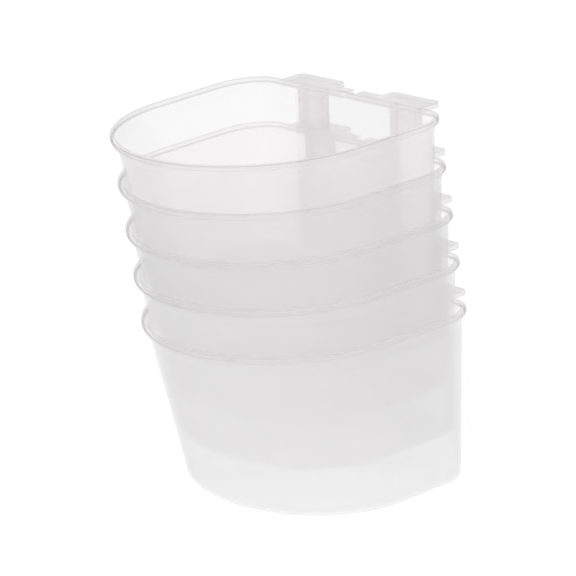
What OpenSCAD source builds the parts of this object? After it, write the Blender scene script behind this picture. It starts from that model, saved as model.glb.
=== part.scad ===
// Hook-on seed cups for a bird cage, five of them nested in a stack.
// Each cup is one moulding: a D-shaped, drafted cup with a flared lip and two hooks
// on its flat rear wall. The foot of each hook leg stands on the plate of the cup below.
// The origin is the centre of the lowest cup's base. The rear wall faces +Y.

/* [Rim] */
// Width across the rim, along the rear wall
rim_w = 100; // [80:1:140]
// Depth of the rim, from its rear edge to the rounded front
rim_d = 68.8; // [60:0.2:110]
// Radius of the two rear corners, at the rim's outer edge
rim_corner_r = 12.5; // [8:0.5:18]
// Straight length of each side, from the rear edge to where the rounded front begins
side_run = 33; // [22:0.2:40]

/* [Cup] */
// Height of one cup
cup_h = 48.3; // [40:0.1:80]
// Thickness of the walls
wall_t = 0.7; // [0.5:0.05:0.8]
// Thickness of the base
base_t = 0.9; // [0.6:0.1:2]
// Lean of the rear wall from upright, in degrees
rear_draft = 7.6; // [5:0.1:9]
// Lean of the side walls
side_draft = 4.4; // [3.8:0.1:7]
// Lean of the rounded front
front_draft = 6.7; // [4:0.1:10]
// Radius of the rear corners where the walls meet the base
base_corner_r = 8; // [5:0.5:9]
// Radius of the edge between walls and base
base_edge_r = 2; // [1:0.1:3.5]

/* [Lip] */
// Width of the lip's top
lip_w = 1.5; // [1.1:0.1:1.8]
// Height of the lip's outer edge
lip_h = 1.6; // [0.8:0.1:2]
// How far the lip's edge stands out from the wall under the flare
flare = 1.9; // [1.5:0.05:2.6]
// Height of the flare between wall and lip
flare_h = 4.3; // [3:0.1:7]

/* [Hooks] */
// Distance between the middles of the two hooks
hook_spacing = 45.2; // [40:0.2:48]
// Width of each hook's top plate
plate_w = 22.6; // [16:0.2:24]
// Depth of the plate behind the rim
plate_d = 6.7; // [5.6:0.1:10]
// Thickness of the plates and of the tabs between them
plate_t = 1.4; // [1:0.1:2]
// Radius of the plate's rear corners
plate_corner_r = 2.2; // [1:0.1:2.6]
// Depth of the tabs between the plates
tab_d = 2.9; // [2:0.1:4]
// Width of the notch in the middle, between the tabs
notch_w = 4.4; // [3:0.1:8]
// Width of the leg under each plate
leg_w = 12; // [9:0.2:15]
// Depth of the leg, over its side ribs
leg_d = 2.6; // [2:0.1:3.2]
// Thickness of the leg's web and ribs
leg_t = 1.1; // [0.8:0.1:1.4]
// Gap between leg and rear wall, which takes the cage wire
wire_gap = 3.3; // [2.4:0.1:4]

/* [Stack] */
// Height from one cup to the next, which is also the length of the hooks
pitch = 13.6; // [13:0.1:20]

/* [Hidden] */
natural = [0.93, 0.93, 0.94, 0.6];
front_steps = 32;
corner_steps = 6;
edge_steps = 4;
flare_steps = 4;
$fn = 48;

// The wall runs straight from the base to wall_h, and the lip's underside is at lip_z.
lip_z = cup_h - lip_h;
wall_h = lip_z - flare_h;
// How far each wall's foot lies inside the rim's edge
rear_foot = flare + wall_h * tan(rear_draft);
side_foot = flare + wall_h * tan(side_draft);
front_foot = flare + wall_h * tan(front_draft);
// The base is centred on the origin.
rear_y = (rim_d + rear_foot - front_foot) / 2;
split_y = rear_y - side_run;
front_reach = rim_d - side_run;
// Small roundings of the lip follow its height and what it stands proud of the wall.
lip_round = min(lip_h / 4, (lip_w - wall_t) / 2);

// One closed outline of the cup, counter-clockwise: rear corners as arcs, front as half an ellipse.
// Insets are measured inward from the rim's outer edge.
function outline(rear_in, side_in, front_in, corner_r, z) =
    let (half = rim_w / 2 - side_in, rear = rear_y - rear_in, reach = front_reach - front_in)
    concat(
        [for (side = [1, -1], k = [0:corner_steps])
            let (turn = 90 * k / corner_steps, a = side > 0 ? turn : 90 + turn)
            [side * (half - corner_r) + corner_r * cos(a), rear - corner_r + corner_r * sin(a), z]],
        [for (k = [0:front_steps])
            let (a = 180 + 180 * k / front_steps)
            [half * cos(a), split_y + reach * sin(a), z]]
    );

// The wall's outline at a height, moved inward by skin.
function wall_ring(z, skin) =
    let (drop = wall_h - z, share = drop / wall_h)
    outline(
        flare + drop * tan(rear_draft) + skin,
        flare + drop * tan(side_draft) + skin,
        flare + drop * tan(front_draft) + skin,
        rim_corner_r - flare + (base_corner_r - rim_corner_r + flare) * share - skin,
        z
    );

// An outline that follows the rim's edge at one inset all round.
function rim_ring(inset, z) = outline(inset, inset, inset, rim_corner_r - inset, z);

// The edge between wall and base, from the flat base up to the wall.
function edge_rings(floor_z, skin, r) =
    [for (k = [0:edge_steps])
        let (a = 90 * k / edge_steps, z = floor_z + r * (1 - cos(a)))
        wall_ring(z, skin + r * (1 - sin(a)))];

// The flare bends outward from the wall to the lip, over the inset from wall_in to lip_in.
function flare_rings(wall_in, lip_in, steps) =
    [for (k = steps)
        let (rise = k / flare_steps)
        rim_ring(wall_in - (wall_in - lip_in) * (1 - cos(90 * rise)), wall_h + flare_h * rise)];

cup_rings = concat(
    edge_rings(0, 0, base_edge_r),
    flare_rings(flare, lip_w - wall_t, [0:flare_steps]),
    [
        rim_ring(lip_round, lip_z),
        rim_ring(0, lip_z + lip_round),
        rim_ring(0, cup_h - lip_round),
        rim_ring(lip_round, cup_h),
        rim_ring(lip_w - lip_round, cup_h),
        rim_ring(lip_w, cup_h - lip_round)
    ],
    flare_rings(flare + wall_t, lip_w, [flare_steps:-1:0]),
    reverse(edge_rings(base_t, wall_t, base_edge_r - wall_t))
);

function reverse(list) = [for (k = [len(list) - 1:-1:0]) list[k]];

// A closed skin through rings of equal length, with a flat face on the first and the last.
module skin(rings) {
    n = len(rings[0]);
    points = [for (ring = rings, p = ring) p];
    first = [for (j = [0:n - 1]) j];
    last = [for (j = [n - 1:-1:0]) (len(rings) - 1) * n + j];
    sides = [for (i = [0:len(rings) - 2], j = [0:n - 1], half = [0, 1])
        let (a = i * n + j, b = i * n + (j + 1) % n)
        half == 0 ? [a, a + n, b + n] : [a, b + n, b]];
    polyhedron(points, concat([first], sides, [last]));
}

// The cup without its hooks.
module bowl() skin(cup_rings);

// Top plate of one hook, seen from above, with its two rear corners rounded.
module plate_outline() {
    root = lip_w / 2;
    translate([-plate_w / 2, rear_y - root])
        square([plate_w, plate_d + root - plate_corner_r]);
    translate([-plate_w / 2 + plate_corner_r, rear_y])
        square([plate_w - 2 * plate_corner_r, plate_d]);
    for (side = [-1, 1])
        translate([side * (plate_w / 2 - plate_corner_r), rear_y + plate_d - plate_corner_r])
            circle(plate_corner_r);
}

// Tabs that join the two plates along the rim, with the notch between them.
module tabs() {
    root = lip_w / 2;
    reach = hook_spacing / 2 - plate_w / 2 + plate_corner_r;
    for (side = [0, 1])
        mirror([side, 0, 0])
            translate([notch_w / 2, rear_y - root, cup_h - plate_t])
                cube([reach - notch_w / 2, tab_d + root, plate_t]);
}

// Side view of a leg that leans with the rear wall, from its foot up into the plate.
module leg_profile(depth) {
    lean = tan(rear_draft);
    face = rear_y - flare + wire_gap;
    top = cup_h - plate_t / 2;
    foot = cup_h - pitch;
    polygon([
        [face - (cup_h - foot) * lean, foot],
        [face - (cup_h - foot) * lean + depth, foot],
        [face - (cup_h - top) * lean + depth, top],
        [face - (cup_h - top) * lean, top]
    ]);
}

// A slice of the leg's profile, from one place across the leg to another.
module leg_slice(from, to, depth)
    translate([from, 0, 0]) rotate([90, 0, 90]) linear_extrude(to - from) leg_profile(depth);

// The leg is a channel: a web towards the cup and a rib down each side.
module leg() {
    leg_slice(-leg_w / 2, leg_w / 2, leg_t);
    leg_slice(-leg_w / 2, -leg_w / 2 + leg_t, leg_d);
    leg_slice(leg_w / 2 - leg_t, leg_w / 2, leg_d);
}

module hook() {
    translate([0, 0, cup_h - plate_t]) linear_extrude(plate_t) plate_outline();
    leg();
}

// One whole cup, standing on the origin's plane.
module cup() {
    union() {
        bowl();
        tabs();
        for (side = [-1, 1])
            translate([side * hook_spacing / 2, 0, 0]) hook();
    }
}

// A cup at its place in the stack, counted from the bottom.
module stacked_cup(place) color(natural) translate([0, 0, place * pitch]) cup();

module bottom_cup() stacked_cup(0);
module second_cup() stacked_cup(1);
module third_cup() stacked_cup(2);
module fourth_cup() stacked_cup(3);
module top_cup() stacked_cup(4);

bottom_cup();
second_cup();
third_cup();
fourth_cup();
top_cup();
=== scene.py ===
import math

import bmesh
import bpy
from mathutils import Matrix, Vector


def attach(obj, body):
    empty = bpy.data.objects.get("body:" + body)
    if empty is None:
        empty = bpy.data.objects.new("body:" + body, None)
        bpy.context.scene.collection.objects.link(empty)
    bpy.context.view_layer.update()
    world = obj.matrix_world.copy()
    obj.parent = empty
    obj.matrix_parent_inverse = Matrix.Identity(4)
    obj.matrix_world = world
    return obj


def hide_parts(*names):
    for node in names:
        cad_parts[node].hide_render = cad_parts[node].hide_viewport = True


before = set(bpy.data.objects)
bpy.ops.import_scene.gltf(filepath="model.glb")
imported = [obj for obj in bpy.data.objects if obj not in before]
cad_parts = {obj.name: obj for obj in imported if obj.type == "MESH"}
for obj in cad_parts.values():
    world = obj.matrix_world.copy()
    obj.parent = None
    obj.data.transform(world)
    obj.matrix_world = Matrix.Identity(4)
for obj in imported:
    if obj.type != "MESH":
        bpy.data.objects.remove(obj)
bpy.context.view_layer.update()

scene = bpy.context.scene
hair = 1e-5                     # places closer than this count as the same, in metres


# selecting and editing

def deselectAll():
    bpy.ops.object.select_all(action="DESELECT")


def activate(obj):
    deselectAll()
    bpy.context.view_layer.objects.active = obj
    obj.select_set(True)


def startEdit(obj):
    activate(obj)
    bpy.ops.object.mode_set(mode="EDIT")


def endEdit():
    bpy.ops.object.mode_set(mode="OBJECT")


def editMesh():
    return bmesh.from_edit_mesh(bpy.context.edit_object.data)


def pickAll():
    bpy.ops.mesh.select_all(action="SELECT")


def pick(kind, test):
    # selects the verts, edges or faces that pass the test, and nothing else
    bpy.ops.mesh.select_mode(type={"verts": "VERT", "edges": "EDGE", "faces": "FACE"}[kind])
    bpy.ops.mesh.select_all(action="DESELECT")
    bm = editMesh()
    for item in getattr(bm, kind):
        if test(item):
            item.select = True
    bm.select_flush_mode()
    bmesh.update_edit_mesh(bpy.context.edit_object.data)


def near(a, b):
    return abs(a - b) < hair


def edgeMiddle(edge):
    return (edge.verts[0].co + edge.verts[1].co) / 2


def isUpright(edge):
    first, last = edge.verts[0].co, edge.verts[1].co
    return near(first.x, last.x) and near(first.y, last.y)


def extrude(move):
    bpy.ops.mesh.extrude_region_move(TRANSFORM_OT_translate={"value": move})


def stretch(scale, center):
    bpy.ops.transform.resize(value=scale, center_override=center)


def shift(move):
    bpy.ops.transform.translate(value=move)


def inset(thickness):
    bpy.ops.mesh.inset(thickness=thickness, depth=0, use_even_offset=True)


def bevelEdges(offset, segments):
    bpy.ops.mesh.bevel(offset=offset, segments=segments, affect="EDGES")


def cutAcross(x):
    bpy.ops.mesh.bisect(plane_co=(x, 0, 0), plane_no=(1, 0, 0))


def settle():
    # puts the object's place, turn and size into its mesh
    bpy.ops.object.transform_apply(location=True, rotation=True, scale=True)


def applyAll(obj):
    activate(obj)
    for modifier in list(obj.modifiers):
        bpy.ops.object.modifier_apply(modifier=modifier.name)


def addBox(name, low, high):
    deselectAll()
    center = [(a + b) / 2 for a, b in zip(low, high)]
    bpy.ops.mesh.primitive_cube_add(size=1, location=center)
    obj = bpy.context.object
    obj.name = name
    obj.scale = [b - a for a, b in zip(low, high)]
    settle()
    return obj


# the plastic: one undyed translucent plastic, with a material for each kind of surface, whose colours carry painted
# light and shade

grain = {
    "cloudSize": 45.0,          # patches per metre
    "cloudDetail": 3,
    "cloudRoughness": 0.55,
    "cloudRange": (0.3, 0.7),   # part of the noise that counts
    "grainSize": 350.0,
    "grainDetail": 2,
    "grainHeight": 0.00001,
    "grainStrength": 0.5,
    "scuffSize": 420.0,
    "scuffDetail": 1,
    "scuffLength": 0.16,        # upright stretch of the scuffs
    "scuffRange": (0.66, 0.78),
}
finish = {
    "roughness": 0.40,
    "scuffRoughness": 0.62,
    "specular": 0.20,
    "edgeBlend": 0.30,          # how soon the opacity grows towards the edges
    "colorBlend": 0.60,         # how soon the colour turns to the edge tone
}
outerWall = {
    "name": "outerWall",
    # the outer wall's colour sits well below the plastic's own pale tone: painted shade
    "pale": (0.722, 0.714, 0.717, 1),
    "dull": (0.708, 0.700, 0.703, 1),       # in the cloudier patches
    "edgeTone": 1.05,                       # share of the colour left at grazing angles
    "scatter": 0.45,                        # light scattered on through the wall
    "faceOn": 0.36,                         # opacity seen face on
    "edgeOn": 0.65,                         # and at grazing angles
    "fromWithin": 0.0,                      # share of it when met from within the wall
    "withinTone": 1.0,                      # share of the colour there
    "lightShare": 0.25,                     # share of it that stands in the way of light
    "cloudChange": 0.05,                    # how much it varies with the clouds
    "scuffs": 0.5,
}
innerWall = dict(
    outerWall, name="innerWall",
    pale=(0.993, 0.960, 0.975, 1), dull=(0.976, 0.943, 0.958, 1),
    edgeTone=1.0, scatter=0.75, faceOn=0.29, edgeOn=0.55)
# the rear wall's inner face between the legs is darker: painted shade from the hooks behind it
rearWall = dict(                            # the rear wall's inner face, with the hooks behind it
    innerWall, name="rearWall",
    pale=(0.89, 0.865, 0.877, 1), dull=(0.875, 0.850, 0.862, 1))
# darker than the inner wall: painted shade from the cup nested inside
frontFlare = dict(                          # the flare's inner face in the lower cups
    innerWall, name="frontFlare",
    pale=(0.82, 0.80, 0.81, 1), dull=(0.80, 0.78, 0.79, 1),
    faceOn=0.45, edgeOn=0.80)
hookSkin = {
    "name": "hookSkin",
    "pale": (0.94, 0.920, 0.929, 1),
    "dull": (0.90, 0.880, 0.889, 1),
    "edgeTone": 0.95,
    "scatter": 0.45,
    "faceOn": 0.30,
    "edgeOn": 0.65,
    "fromWithin": 0.8,
    "withinTone": 1.0,
    "lightShare": 0.3,
    "cloudChange": 0.12,
    "scuffs": 0.8,
}
# the legs' upright sides are darker: painted shade
legSide = dict(
    hookSkin, name="legSide",
    pale=(0.80, 0.783, 0.791, 1), dull=(0.77, 0.753, 0.761, 1),
    faceOn=0.60, edgeOn=0.85)
# darker partly for the thicker plastic and partly as painted shade round the legs and under the plates
thickSkin = dict(                           # where the plastic is thick: the legs, and the lip in front of the hooks
    hookSkin, name="thickSkin",
    pale=(0.85, 0.832, 0.841, 1), dull=(0.81, 0.792, 0.801, 1),
    faceOn=0.55, edgeOn=0.85)
# the lip's outer face is darkened like the outer wall: painted shade
lipFace = dict(                             # the lip's upright outer face
    hookSkin, name="lipFace",
    pale=(0.73, 0.717, 0.723, 1), dull=(0.71, 0.697, 0.703, 1),
    faceOn=0.50, edgeOn=0.72, fromWithin=0.4, lightShare=0.25, cloudChange=0.08)
# met from within, the underside turns darker: a painted shade line
lipUnder = dict(                            # its lower rounding and underside
    lipFace, name="lipUnder",
    pale=(0.80, 0.787, 0.793, 1), dull=(0.78, 0.767, 0.773, 1),
    faceOn=0.45, edgeOn=0.95, fromWithin=1.3, withinTone=0.86)
lipTop = dict(
    hookSkin, name="lipTop",
    pale=(0.96, 0.945, 0.952, 1), dull=(0.94, 0.925, 0.932, 1),
    edgeTone=1.0, scatter=0.6, faceOn=0.40, edgeOn=0.60,
    fromWithin=0.0, lightShare=0.25, cloudChange=0.06)
# the dark colour of the roundings paints shade lines along the lip and the hooks
lipEdge = dict(                             # the fine roundings of the lip and the hooks
    hookSkin, name="lipEdge",
    pale=(0.70, 0.68, 0.695, 1), dull=(0.66, 0.64, 0.655, 1),
    edgeTone=1.0, scatter=0.6, faceOn=0.52, edgeOn=0.78, cloudChange=0.2, scuffs=0.6)
# a lower cup's lip has another cup's wall close inside
lowLipTop = dict(lipTop, name="lowLipTop", faceOn=0.50, edgeOn=0.75)
lowLipFace = dict(lipFace, name="lowLipFace", edgeOn=0.62, fromWithin=0.15)
lowLipEdge = dict(lipEdge, name="lowLipEdge", edgeOn=0.74, fromWithin=0.4)


def addNumber(group, name, value):
    socket = group.interface.new_socket(name, in_out="INPUT", socket_type="NodeSocketFloat")
    socket.default_value = value


def addSpread(nodes, links, source, low, high, newLow=0.0, newHigh=1.0):
    # stretches the part of a value between low and high to a new range
    spread = nodes.new("ShaderNodeMapRange")
    for name, value in (("From Min", low), ("From Max", high), ("To Min", newLow), ("To Max", newHigh)):
        spread.inputs[name].default_value = value
    links.new(source, spread.inputs["Value"])
    return spread.outputs["Result"]


def addMath(nodes, links, operation, first, second):
    node = nodes.new("ShaderNodeMath")
    node.operation = operation
    links.new(first, node.inputs[0])
    links.new(second, node.inputs[1])
    return node.outputs["Value"]


def addNoise(nodes, links, place, detail, roughness=0.5):
    noise = nodes.new("ShaderNodeTexNoise")
    noise.inputs["Detail"].default_value = detail
    noise.inputs["Roughness"].default_value = roughness
    links.new(place, noise.inputs["Vector"])
    return noise


def addTurn(nodes, links, color, factor):
    # a mix that turns to a fixed colour by the factor
    mix = nodes.new("ShaderNodeMix")
    mix.data_type = "RGBA"
    mix.inputs["B"].default_value = color
    links.new(factor, mix.inputs["Factor"])
    return mix


def makeMouldedGroup():
    # cloudy patches, a fine grain and short scuffs, shared by all the plastic
    group = bpy.data.node_groups.new("mouldedPlastic", "ShaderNodeTree")
    addNumber(group, "Cloud Size", grain["cloudSize"])
    addNumber(group, "Grain Size", grain["grainSize"])
    addNumber(group, "Scuff Share", outerWall["scuffs"])
    for name in ("Cloud", "Grain", "Scuff"):
        group.interface.new_socket(name, in_out="OUTPUT", socket_type="NodeSocketFloat")
    nodes, links = group.nodes, group.links
    inputs = nodes.new("NodeGroupInput")
    outputs = nodes.new("NodeGroupOutput")
    place = nodes.new("ShaderNodeTexCoord").outputs["Object"]
    cloud = addNoise(nodes, links, place, grain["cloudDetail"], grain["cloudRoughness"])
    links.new(inputs.outputs["Cloud Size"], cloud.inputs["Scale"])
    links.new(addSpread(nodes, links, cloud.outputs["Fac"], *grain["cloudRange"]), outputs.inputs["Cloud"])
    fine = addNoise(nodes, links, place, grain["grainDetail"])
    links.new(inputs.outputs["Grain Size"], fine.inputs["Scale"])
    links.new(fine.outputs["Fac"], outputs.inputs["Grain"])
    # short upright scuffs from pulling the cups out of each other
    drag = nodes.new("ShaderNodeMapping")
    drag.inputs["Scale"].default_value = (1, 1, grain["scuffLength"])
    links.new(place, drag.inputs["Vector"])
    scuff = addNoise(nodes, links, drag.outputs["Vector"], grain["scuffDetail"])
    scuff.inputs["Scale"].default_value = grain["scuffSize"]
    thin = addSpread(nodes, links, scuff.outputs["Fac"], *grain["scuffRange"])
    share = addMath(nodes, links, "MULTIPLY", thin, inputs.outputs["Scuff Share"])
    links.new(share, outputs.inputs["Scuff"])
    return group


mouldedGroup = makeMouldedGroup()


def shaded(color, shade):
    return tuple(min(part * shade, 1) for part in color[:3]) + (1,)


def makePlastic(look, shade=1.0, edge=1.0, behind=1.0):
    material = bpy.data.materials.new(look["name"])
    material.use_nodes = True
    nodes, links = material.node_tree.nodes, material.node_tree.links
    nodes.clear()
    output = nodes.new("ShaderNodeOutputMaterial")
    surface = nodes.new("ShaderNodeBsdfPrincipled")
    surface.inputs["Specular IOR Level"].default_value = finish["specular"]
    through = nodes.new("ShaderNodeBsdfTranslucent")
    scatter = nodes.new("ShaderNodeMixShader")
    scatter.inputs["Fac"].default_value = look["scatter"]
    clear = nodes.new("ShaderNodeBsdfTransparent")
    body = nodes.new("ShaderNodeMixShader")
    links.new(surface.outputs["BSDF"], scatter.inputs[1])
    links.new(through.outputs["BSDF"], scatter.inputs[2])
    links.new(clear.outputs["BSDF"], body.inputs[1])
    links.new(scatter.outputs["Shader"], body.inputs[2])
    links.new(body.outputs["Shader"], output.inputs["Surface"])
    moulded = nodes.new("ShaderNodeGroup")
    moulded.node_tree = mouldedGroup
    moulded.inputs["Scuff Share"].default_value = look["scuffs"]
    scuff = moulded.outputs["Scuff"]
    haze = addMath(nodes, links, "MAXIMUM", moulded.outputs["Cloud"], scuff)
    # colour: seen at a slant more plastic is in the way, so it changes a little
    slant = nodes.new("ShaderNodeLayerWeight")
    slant.inputs["Blend"].default_value = finish["colorBlend"]
    side = nodes.new("ShaderNodeNewGeometry").outputs["Backfacing"]
    # shade and edge scale the colours by each cup's painted light and shade, and a within tone below 1 paints shade
    # on faces met from within
    tint = addTurn(nodes, links, shaded(look["dull"], shade), haze)
    tint.inputs["A"].default_value = shaded(look["pale"], shade)
    deep = addTurn(nodes, links, shaded(look["dull"], look["edgeTone"] * shade * edge), slant.outputs["Facing"])
    links.new(tint.outputs["Result"], deep.inputs["A"])
    within = addTurn(nodes, links, shaded(look["dull"], look["withinTone"] * shade), side)
    links.new(deep.outputs["Result"], within.inputs["A"])
    links.new(within.outputs["Result"], surface.inputs["Base Color"])
    links.new(within.outputs["Result"], through.inputs["Color"])
    # roughness
    rough = addSpread(nodes, links, scuff, 0, 1, finish["roughness"], finish["scuffRoughness"])
    links.new(rough, surface.inputs["Roughness"])
    # opacity grows towards the edges and in the clouds
    layer = nodes.new("ShaderNodeLayerWeight")
    layer.inputs["Blend"].default_value = finish["edgeBlend"]
    depth = addSpread(nodes, links, layer.outputs["Facing"], 0, 1, look["faceOn"], look["edgeOn"])
    change = look["cloudChange"] / 2
    hazeDepth = addSpread(nodes, links, haze, 0, 1, 1 - change, 1 + change)
    # it lets part of the light by, and a wall's far face, met from within, counts for less
    rays = nodes.new("ShaderNodeLightPath")
    path = rays.outputs["Is Camera Ray"]
    passing = addSpread(nodes, links, path, 0, 1, look["lightShare"], 1)
    met = addSpread(nodes, links, side, 0, 1, 1, look["fromWithin"])
    # a wall blurs what lies far behind it, so what is met behind a wall hides more
    passed = addMath(nodes, links, "MULTIPLY", path, rays.outputs["Transparent Depth"])
    hiding = addSpread(nodes, links, passed, 0, 1, 1, behind)
    opacity = depth
    for share in (hazeDepth, passing, met, hiding):
        opacity = addMath(nodes, links, "MULTIPLY", opacity, share)
    links.new(opacity, body.inputs["Fac"])
    # fine grain
    bump = nodes.new("ShaderNodeBump")
    bump.inputs["Strength"].default_value = grain["grainStrength"]
    bump.inputs["Distance"].default_value = grain["grainHeight"]
    links.new(moulded.outputs["Grain"], bump.inputs["Height"])
    links.new(bump.outputs["Normal"], surface.inputs["Normal"])
    return material


# the materials a cup is modelled with, their colours carrying painted light and shade, and the slot of each
looks = (
    outerWall, innerWall, rearWall, frontFlare, lipTop, lipEdge, lipFace, lipUnder,
    hookSkin, thickSkin, legSide)
skins = [makePlastic(look) for look in looks]
(outerSlot, innerSlot, rearSlot, flareSlot, topSlot, edgeSlot, faceSlot, underSlot,
 hookSlot, thickSlot, sideSlot) = range(len(skins))
print("plastic made")


def layOn(obj, slot, test):
    pick("faces", test)
    obj.active_material_index = slot
    bpy.ops.object.material_slot_assign()


def wear(obj, slot):
    # gives the piece all the materials and lays one of them on every face
    obj.data.materials.clear()
    for material in skins:
        obj.data.materials.append(material)
    startEdit(obj)
    layOn(obj, slot, lambda face: True)
    endEdit()


# the bowl of one cup

bowl = {
    "rimWidth": 0.100,
    "rimDepth": 0.0688,
    "rimCorner": 0.0125,        # radius of the two rear corners
    "sideRun": 0.0330,          # rear edge to the start of the rounded front
    "height": 0.0483,
    "wall": 0.0007,
    "floor": 0.0009,
    "rearLean": 7.6,            # degrees from upright
    "sideLean": 4.4,
    "frontLean": 6.7,
    "floorEdge": 0.002,         # rounding between walls and base
    "lipWidth": 0.0015,
    "lipHeight": 0.0016,
    "lipRound": 0.00035,
    "flare": 0.0019,            # rim's edge to the wall below the flare
    "flareHeight": 0.0043,
    "flareLook": 0.01,          # the front flare's own look starts this far before the straight sides
    "frontPoints": 192,
    "cornerPoints": 20,
    "lipPoints": 3,
    "flareSteps": 8,
    "floorSteps": 6,
    "capCorners": 60,           # a flat cap right across the bowl has more corners than this
    "sharpAngle": 60,           # degrees between the faces at the lip's edges, at least
    "rearLipReach": 1.1,        # lip widths in from the rear edge that count as its rear part
    "outlineShare": 0.995,      # share of the front ellipse from which an edge is on the outline
}
hooks = {
    "spacing": 0.0452,
    "plateWidth": 0.0226,
    "plateDepth": 0.0067,
    "plateThickness": 0.0014,
    "plateCorner": 0.0022,
    "platePoints": 8,
    "tabDepth": 0.0029,
    "tabPoints": 4,
    "notch": 0.0044,
    "legWidth": 0.012,
    "legDepth": 0.0026,
    "legWall": 0.0011,
    "wireGap": 0.0033,
    "length": 0.0136,           # top of the plate to the leg's foot, also the step from rim to rim
    "edge": 0.00018,            # fine rounding of all edges
    "edgePoints": 2,
    "sharpAngle": 50,
}
hooks["outerEnd"] = hooks["spacing"] / 2 + hooks["plateWidth"] / 2
hooks["legEnd"] = hooks["spacing"] / 2 + hooks["legWidth"] / 2 - hooks["wireGap"]
facing = {                      # how far a normal reaches along an axis, at least
    "square": 0.98,
    "level": 0.95,
    "rear": 0.9,
    "lipTop": 0.5,
    "lipInside": 0.3,
    "tilted": 0.1,
}


def lean(angle):
    return math.tan(math.radians(angle))


bowl["lipBottom"] = bowl["height"] - bowl["lipHeight"]
bowl["wallTop"] = bowl["lipBottom"] - bowl["flareHeight"]
bowl["rearShift"] = bowl["wallTop"] * lean(bowl["rearLean"])
bowl["sideShift"] = bowl["wallTop"] * lean(bowl["sideLean"])
bowl["frontShift"] = bowl["wallTop"] * lean(bowl["frontLean"])
bowl["rearY"] = (bowl["rimDepth"] + bowl["rearShift"] - bowl["frontShift"]) / 2
bowl["frontY"] = bowl["rearY"] - bowl["rimDepth"]
bowl["splitY"] = bowl["rearY"] - bowl["sideRun"]
bowl["middleY"] = (bowl["rearY"] + bowl["frontY"]) / 2
bowl["rearLipFrom"] = bowl["rearY"] - bowl["lipWidth"] * bowl["rearLipReach"]


def addOutline(name, z):
    # half an ellipse at the front, straight sides and two rounded rear corners
    deselectAll()
    bpy.ops.mesh.primitive_circle_add(
        vertices=bowl["frontPoints"], radius=1, fill_type="NGON", location=(0, bowl["splitY"], z))
    obj = bpy.context.object
    obj.name = name
    obj.scale = (bowl["rimWidth"] / 2, bowl["splitY"] - bowl["frontY"], 1)
    settle()
    startEdit(obj)
    pickAll()
    bpy.ops.mesh.bisect(plane_co=(0, bowl["splitY"], z), plane_no=(0, 1, 0), clear_outer=True)
    pick("edges", lambda e: e.calc_length() > bowl["rimWidth"] / 2)
    extrude((0, bowl["sideRun"], 0))
    pick("verts", lambda v: v.co.y > bowl["rearY"] - bowl["wall"])
    bpy.ops.mesh.bevel(offset=bowl["rimCorner"], segments=bowl["cornerPoints"], affect="VERTICES")
    pickAll()
    bpy.ops.mesh.dissolve_faces()
    pickAll()
    bpy.ops.mesh.normals_make_consistent(inside=False)
    if [f for f in editMesh().faces if f.normal.z < 0]:
        bpy.ops.mesh.flip_normals()
    endEdit()
    return obj


def isCap(z, up):
    # a test for the flat cap at a height that looks up or down
    def test(face):
        return near(face.calc_center_median().z, z) and face.normal.z * up > facing["square"] \
            and len(face.verts) > bowl["capCorners"]
    return test


def bendFlare(total):
    # small steps that bend from the lip down into the wall
    steps = bowl["flareSteps"]
    done = 0
    for k in range(1, steps + 1):
        out = total * (1 - math.cos(math.radians(90) * (1 - k / steps)))
        inset(total - out - done)
        shift((0, 0, -bowl["flareHeight"] / steps))
        done = total - out


def bendFloor(radius):
    # the rounding between wall and base
    steps = bowl["floorSteps"]
    doneIn = 0
    doneDown = 0
    for k in range(1, steps + 1):
        angle = math.radians(90) * k / steps
        goIn = radius * (1 - math.cos(angle))
        goDown = radius * math.sin(angle)
        inset(goIn - doneIn)
        shift((0, 0, -(goDown - doneDown)))
        doneIn, doneDown = goIn, goDown


def leanWall(skin, z, drop):
    # the wall goes down from z by drop and draws in by each side's own lean
    full = drop / bowl["wallTop"]
    inside = bowl["flare"] + skin
    half = bowl["rimWidth"] / 2 - inside
    rear = bowl["rearY"] - inside
    front = bowl["frontY"] + inside
    newRear = rear - bowl["rearShift"] * full
    newFront = front + bowl["frontShift"] * full
    extrude((0, 0, -drop))
    stretch(((half - bowl["sideShift"] * full) / half, (newRear - newFront) / (rear - front), 1),
            (0, (rear + front) / 2, z - drop))
    shift((0, (newRear + newFront - rear - front) / 2, 0))


def outward(face):
    # how far a face looks away from the middle of the bowl
    middle = face.calc_center_median()
    return face.normal.x * middle.x + face.normal.y * (middle.y - bowl["middleY"])


def isInner(face):
    middle = face.calc_center_median()
    if middle.z > bowl["lipBottom"] - hair:
        return outward(face) < 0 or face.normal.z > facing["level"]
    return outward(face) + face.normal.z * (middle.z - bowl["height"] / 2) < 0


def isRearInner(face):
    return isInner(face) and face.normal.y < -facing["rear"] and face.calc_center_median().z < bowl["lipBottom"]


def isBetweenLegs(face):
    return isRearInner(face) and abs(face.calc_center_median().x) < hooks["legEnd"]


def isFrontFlare(face):
    # the inside of the flare and the lip round the front
    middle = face.calc_center_median()
    return isInner(face) and bowl["wallTop"] < middle.z < bowl["height"] - bowl["lipRound"] \
        and middle.y < bowl["splitY"] - bowl["flareLook"]


def isRearLip(face):
    # the lip's inner and top faces along the rear wall
    middle = face.calc_center_median()
    return middle.z > bowl["lipBottom"] + hair and middle.y > bowl["rearLipFrom"] \
        and (face.normal.y < -facing["lipInside"] or face.normal.z > facing["lipTop"])


def isHookLip(face):
    # the part of it in front of the plates and tabs
    return isRearLip(face) and hooks["notch"] / 2 < abs(face.calc_center_median().x) < hooks["outerEnd"]


def inLip(face):
    return bowl["lipBottom"] - hair < face.calc_center_median().z < bowl["height"] + hair


def isLipTop(face):
    return face.normal.z > facing["level"] and near(face.calc_center_median().z, bowl["height"])


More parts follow.
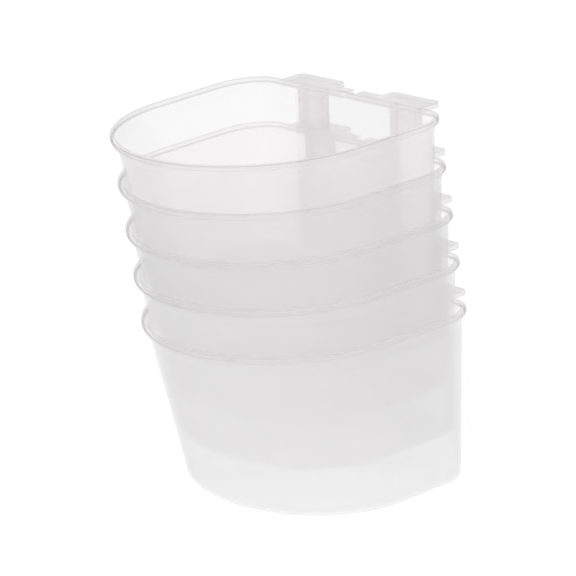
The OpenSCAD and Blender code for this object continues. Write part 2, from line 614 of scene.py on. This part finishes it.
def isLipFace(face):
    # the lip's upright outer face, its lower rounding and its narrow underside
    return inLip(face) and (
        face.normal.z < -facing["level"] or (outward(face) > 0 and face.normal.z < facing["tilted"]))


def isLipUnder(face):
    return isLipFace(face) and face.normal.z < -facing["tilted"]


def isLipEdge(face):
    # the rounded upper outer edge
    return inLip(face) and outward(face) > 0 and facing["tilted"] < face.normal.z < facing["level"]


def cornerReach(point):
    # distance from the middle of the rear corner's arc, or nothing outside that corner
    cx = bowl["rimWidth"] / 2 - bowl["rimCorner"]
    cy = bowl["rearY"] - bowl["rimCorner"]
    if abs(point.x) < cx or point.y < cy:
        return 0
    return math.hypot(abs(point.x) - cx, point.y - cy)


def isOuter(edge):
    # on the rim's own outline, to within the lip's rounding
    middle = edgeMiddle(edge)
    if middle.y > bowl["splitY"]:
        return abs(middle.x) > bowl["rimWidth"] / 2 - bowl["lipRound"] \
            or middle.y > bowl["rearY"] - bowl["lipRound"] \
            or cornerReach(middle) > bowl["rimCorner"] - bowl["lipRound"]
    across = middle.x / (bowl["rimWidth"] / 2)
    along = (middle.y - bowl["splitY"]) / (bowl["splitY"] - bowl["frontY"])
    return math.hypot(across, along) > bowl["outlineShare"]


def isSharpLip(edge):
    # the lip's two upper edges and its outer lower one
    z = edge.verts[0].co.z
    onTop = near(z, bowl["height"])
    below = near(z, bowl["lipBottom"]) and isOuter(edge)
    return near(z, edge.verts[1].co.z) and (onTop or below) and len(edge.link_faces) == 2 \
        and edge.calc_face_angle(0) > math.radians(bowl["sharpAngle"])


def makeBowl():
    obj = addOutline("cup", bowl["lipBottom"])
    startEdit(obj)
    # the lip
    pickAll()
    extrude((0, 0, bowl["lipHeight"]))
    # down the inside
    pick("faces", isCap(bowl["height"], 1))
    inset(bowl["lipWidth"])
    extrude((0, 0, -bowl["lipHeight"]))
    bendFlare(bowl["flare"] + bowl["wall"] - bowl["lipWidth"])
    leanWall(bowl["wall"], bowl["wallTop"],
             bowl["wallTop"] - bowl["floor"] - bowl["floorEdge"] + bowl["wall"])
    bendFloor(bowl["floorEdge"] - bowl["wall"])
    # down the outside
    pick("faces", isCap(bowl["lipBottom"], -1))
    inset(bowl["lipWidth"] - bowl["wall"])
    bendFlare(bowl["flare"] + bowl["wall"] - bowl["lipWidth"])
    leanWall(0, bowl["wallTop"], bowl["wallTop"] - bowl["floorEdge"])
    bendFloor(bowl["floorEdge"])
    pick("edges", isSharpLip)
    bevelEdges(bowl["lipRound"], bowl["lipPoints"])
    endEdit()
    # the materials, with their painted light and shade, with cuts where one ends within a wide face
    wear(obj, outerSlot)
    startEdit(obj)
    layOn(obj, innerSlot, isInner)
    for x in (-hooks["legEnd"], hooks["legEnd"]):
        pick("faces", isRearInner)
        cutAcross(x)
    layOn(obj, rearSlot, isBetweenLegs)
    layOn(obj, flareSlot, isFrontFlare)
    layOn(obj, topSlot, isLipTop)
    layOn(obj, faceSlot, isLipFace)
    layOn(obj, underSlot, isLipUnder)
    layOn(obj, edgeSlot, isLipEdge)
    for x in (-hooks["outerEnd"], -hooks["notch"] / 2, hooks["notch"] / 2, hooks["outerEnd"]):
        pick("faces", isRearLip)
        cutAcross(x)
    layOn(obj, thickSlot, isHookLip)
    endEdit()
    print("bowl made, faces", len(obj.data.polygons))
    return obj


# the hooks of one cup

def roundEdges(obj):
    wear(obj, hookSlot)
    modifier = obj.modifiers.new("edges", "BEVEL")
    # the roundings take the dark edge colour: painted shade lines
    modifier.material = edgeSlot
    modifier.width = hooks["edge"]
    modifier.segments = hooks["edgePoints"]
    modifier.limit_method = "ANGLE"
    modifier.angle_limit = math.radians(hooks["sharpAngle"])
    applyAll(obj)


def addPlateBox(name, left, right, depth):
    # level with the rim, from the middle of the lip to a depth behind it
    low = (left, bowl["rearY"] - bowl["lipWidth"] / 2, bowl["height"] - hooks["plateThickness"])
    return addBox(name, low, (right, bowl["rearY"] + depth, bowl["height"]))


def makePlate():
    obj = addPlateBox("plate", -hooks["plateWidth"] / 2, hooks["plateWidth"] / 2, hooks["plateDepth"])
    startEdit(obj)
    pick("edges", lambda e: isUpright(e) and edgeMiddle(e).y > bowl["rearY"] + hooks["tabDepth"])
    bevelEdges(hooks["plateCorner"], hooks["platePoints"])
    endEdit()
    roundEdges(obj)
    return obj


def makeTab(side):
    # from the notch in the middle into the plate, past its rounded corner
    reach = hooks["spacing"] / 2 - hooks["plateWidth"] / 2 + hooks["plateCorner"]
    left, right = sorted((side * hooks["notch"] / 2, side * reach))
    obj = addPlateBox("tab", left, right, hooks["tabDepth"])
    startEdit(obj)
    pick("edges", lambda e: isUpright(e) and edgeMiddle(e).y > bowl["rearY"] + hooks["edge"]
         and abs(edgeMiddle(e).x) < hooks["notch"])
    bevelEdges(hooks["legWall"] / 2, hooks["tabPoints"])
    endEdit()
    roundEdges(obj)
    return obj


def makeLeg():
    # a channel: a web towards the cup and a rib down each side, leaning with the rear wall
    top = bowl["height"] - hooks["plateThickness"] / 2
    foot = bowl["height"] - hooks["length"]
    face = bowl["rearY"] - bowl["flare"] + hooks["wireGap"]
    half = hooks["legWidth"] / 2
    rib = half - hooks["legWall"]
    obj = addBox("leg", (-half, face, foot), (half, face + hooks["legWall"], top))
    startEdit(obj)
    for side in (-1, 1):
        pickAll()
        cutAcross(side * rib)
    pick("faces", lambda f: f.normal.y > facing["square"] and abs(f.calc_center_median().x) > rib)
    extrude((0, hooks["legDepth"] - hooks["legWall"], 0))
    for z in (foot, top):
        pick("verts", lambda v: near(v.co.z, z))
        shift((0, -(bowl["height"] - z) * lean(bowl["rearLean"]), 0))
    endEdit()
    roundEdges(obj)
    startEdit(obj)
    layOn(obj, thickSlot, lambda f: abs(f.normal.y) > facing["square"])
    layOn(obj, sideSlot, lambda f: abs(f.normal.x) > facing["square"])
    endEdit()
    return obj


# one whole cup

joining = {
    "mergeWithin": 2e-6,
    "smoothAngle": 35,          # degrees
}


def moved(obj, move):
    # a copy with its own mesh, moved and settled at the origin
    activate(obj)
    bpy.ops.object.duplicate()
    shift(move)
    settle()
    return bpy.context.object


def weld(obj, others):
    for other in others:
        modifier = obj.modifiers.new("weld", "BOOLEAN")
        modifier.operation = "UNION"
        modifier.solver = "EXACT"
        modifier.object = other
        applyAll(obj)
        bpy.data.objects.remove(other)


def makeCup():
    cup = makeBowl()
    plate = makePlate()
    leg = makeLeg()
    right = (hooks["spacing"] / 2, 0, 0)
    left = (-hooks["spacing"] / 2, 0, 0)
    plates = [moved(plate, left), moved(plate, right)]
    legs = [moved(leg, left), moved(leg, right)]
    bpy.data.objects.remove(plate)
    bpy.data.objects.remove(leg)
    weld(cup, plates + legs + [makeTab(-1), makeTab(1)])
    startEdit(cup)
    pickAll()
    bpy.ops.mesh.remove_doubles(threshold=joining["mergeWithin"])
    endEdit()
    bpy.ops.object.shade_smooth_by_angle(angle=math.radians(joining["smoothAngle"]))
    print("cup made, faces", len(cup.data.polygons))
    return cup


# floor, light and camera

stage = {
    "floorSize": 40.0,
    "floorDrop": 0.0002,        # below the lowest cup
    "white": (1, 1, 1, 1),
    "shadowShare": 0.25,        # how much of the floor's own shading shows
}


def addSeenMask(nodes, links):
    # 1 for what the camera sees, straight or in a gloss, and 0 for light on the object
    rays = nodes.new("ShaderNodeLightPath").outputs
    straight = addMath(nodes, links, "MAXIMUM", rays["Is Camera Ray"], rays["Is Glossy Ray"])
    return addMath(nodes, links, "MAXIMUM", straight, rays["Is Transmission Ray"])


def makeFloor():
    deselectAll()
    bpy.ops.mesh.primitive_plane_add(size=stage["floorSize"], location=(0, 0, -stage["floorDrop"]))
    floor = bpy.context.object
    floor.name = "floor"
    material = bpy.data.materials.new("paleFloor")
    material.use_nodes = True
    nodes, links = material.node_tree.nodes, material.node_tree.links
    nodes.clear()
    output = nodes.new("ShaderNodeOutputMaterial")
    mixer = nodes.new("ShaderNodeMixShader")
    matte = nodes.new("ShaderNodeBsdfDiffuse")
    matte.inputs["Color"].default_value = stage["white"]
    glow = nodes.new("ShaderNodeEmission")
    glow.inputs["Color"].default_value = stage["white"]
    share = addSpread(nodes, links, addSeenMask(nodes, links), 0, 1, 0, 1 - stage["shadowShare"])
    links.new(share, mixer.inputs["Fac"])
    links.new(matte.outputs["BSDF"], mixer.inputs[1])
    links.new(glow.outputs["Emission"], mixer.inputs[2])
    links.new(mixer.outputs["Shader"], output.inputs["Surface"])
    floor.data.materials.append(material)


light = {
    "worldStrength": 0.94,
    "keyEnergy": 15.0,
    "keySize": 1.6,
    "keyPlace": (1.2, -1.6, 1.2),
}


def makeWorld():
    world = bpy.data.worlds.new("whiteRoom")
    scene.world = world
    world.use_nodes = True
    nodes, links = world.node_tree.nodes, world.node_tree.links
    nodes.clear()
    output = nodes.new("ShaderNodeOutputWorld")
    room = nodes.new("ShaderNodeBackground")
    room.inputs["Color"].default_value = stage["white"]
    strength = addSpread(nodes, links, addSeenMask(nodes, links), 0, 1, light["worldStrength"], 1)
    links.new(strength, room.inputs["Strength"])
    links.new(room.outputs["Background"], output.inputs["Surface"])


def makeKey():
    data = bpy.data.lights.new("softBox", "AREA")
    data.energy = light["keyEnergy"]
    data.size = light["keySize"]
    key = bpy.data.objects.new("softBox", data)
    scene.collection.objects.link(key)
    key.location = light["keyPlace"]
    key.rotation_euler = (-Vector(key.location)).to_track_quat("-Z", "Y").to_euler()


view = {
    "place": (0.80150, -0.49114, 0.34410),
    "aim": (0.00039, 0.00417, 0.05410),
    "roll": 8.98,               # degrees
    "lens": 220.292,
    "sensor": 36,
    "nearest": 0.05,
    "farthest": 20,
}


def makeCamera():
    data = bpy.data.cameras.new("camera")
    camera = bpy.data.objects.new("camera", data)
    scene.collection.objects.link(camera)
    data.sensor_width = view["sensor"]
    data.lens = view["lens"]
    data.clip_start = view["nearest"]
    data.clip_end = view["farthest"]
    place = Vector(view["place"])
    turn = (Vector(view["aim"]) - place).to_track_quat("-Z", "Y").to_matrix().to_4x4()
    roll = Matrix.Rotation(math.radians(-view["roll"]), 4, "Z")
    camera.matrix_world = Matrix.Translation(place) @ turn @ roll
    scene.camera = camera


makeCamera()
makeWorld()
makeFloor()
makeKey()
scene.view_settings.view_transform = "Standard"
# many layers of clear plastic lie behind each other
scene.cycles.transparent_max_bounces = 64
scene.cycles.max_bounces = 24
scene.cycles.diffuse_bounces = 12
scene.cycles.transmission_bounces = 24
print("stage, light and camera done")


# the stack: the same cup five times, each with its own painted light and shade

cupNames = ["bottom_cup", "second_cup", "third_cup", "fourth_cup", "top_cup"]
stack = {                       # from the lowest cup up
    # factors on each cup's colours: painted light above 1, painted shade below 1
    "paintedWallShade": (1.15, 1.09, 0.985, 0.975, 1.0),
    "paintedEdgeShade": (1.0, 1.03, 1.03, 0.97, 1.03),
    "paintedLipShade": (1.20, 1.20, 1.14, 1.04, 0.84),
    "paintedTopShade": (0.93, 0.93, 0.91, 0.84, 1.0),
    "paintedFaceShade": (1.08, 1.0, 0.98, 1.0, 1.03),
    "paintedUnderShade": (0.98, 0.95, 0.97, 1.0, 1.03),
    "farHiding": (1.0, 1.0, 1.0, 1.0, 2.8),     # how much more an inner wall hides behind another wall
}
cup = makeCup()
pieces = [cup] + [moved(cup, (0, 0, place * hooks["length"])) for place in range(1, len(cupNames))]
for place, name in enumerate(cupNames):
    piece = pieces[place]
    piece.name = name + "_shell"
    piece.data.name = piece.name
    shades = {kind: values[place] for kind, values in stack.items()}
    isTop = name == "top_cup"
    far = shades["farHiding"]
    materials = piece.data.materials
    materials[outerSlot] = makePlastic(outerWall, shades["paintedWallShade"], edge=shades["paintedEdgeShade"])
    materials[innerSlot] = makePlastic(innerWall, behind=far)
    materials[rearSlot] = makePlastic(rearWall, behind=far)
    materials[flareSlot] = makePlastic(innerWall if isTop else frontFlare, behind=far)
    materials[topSlot] = makePlastic(lipTop if isTop else lowLipTop, shades["paintedTopShade"])
    materials[faceSlot] = makePlastic(lipFace if isTop else lowLipFace, shades["paintedFaceShade"])
    materials[underSlot] = makePlastic(lipUnder, shades["paintedUnderShade"])
    materials[edgeSlot] = makePlastic(lipEdge if isTop else lowLipEdge, shades["paintedLipShade"])
    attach(piece, name)
    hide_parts(name)
print("cups placed")
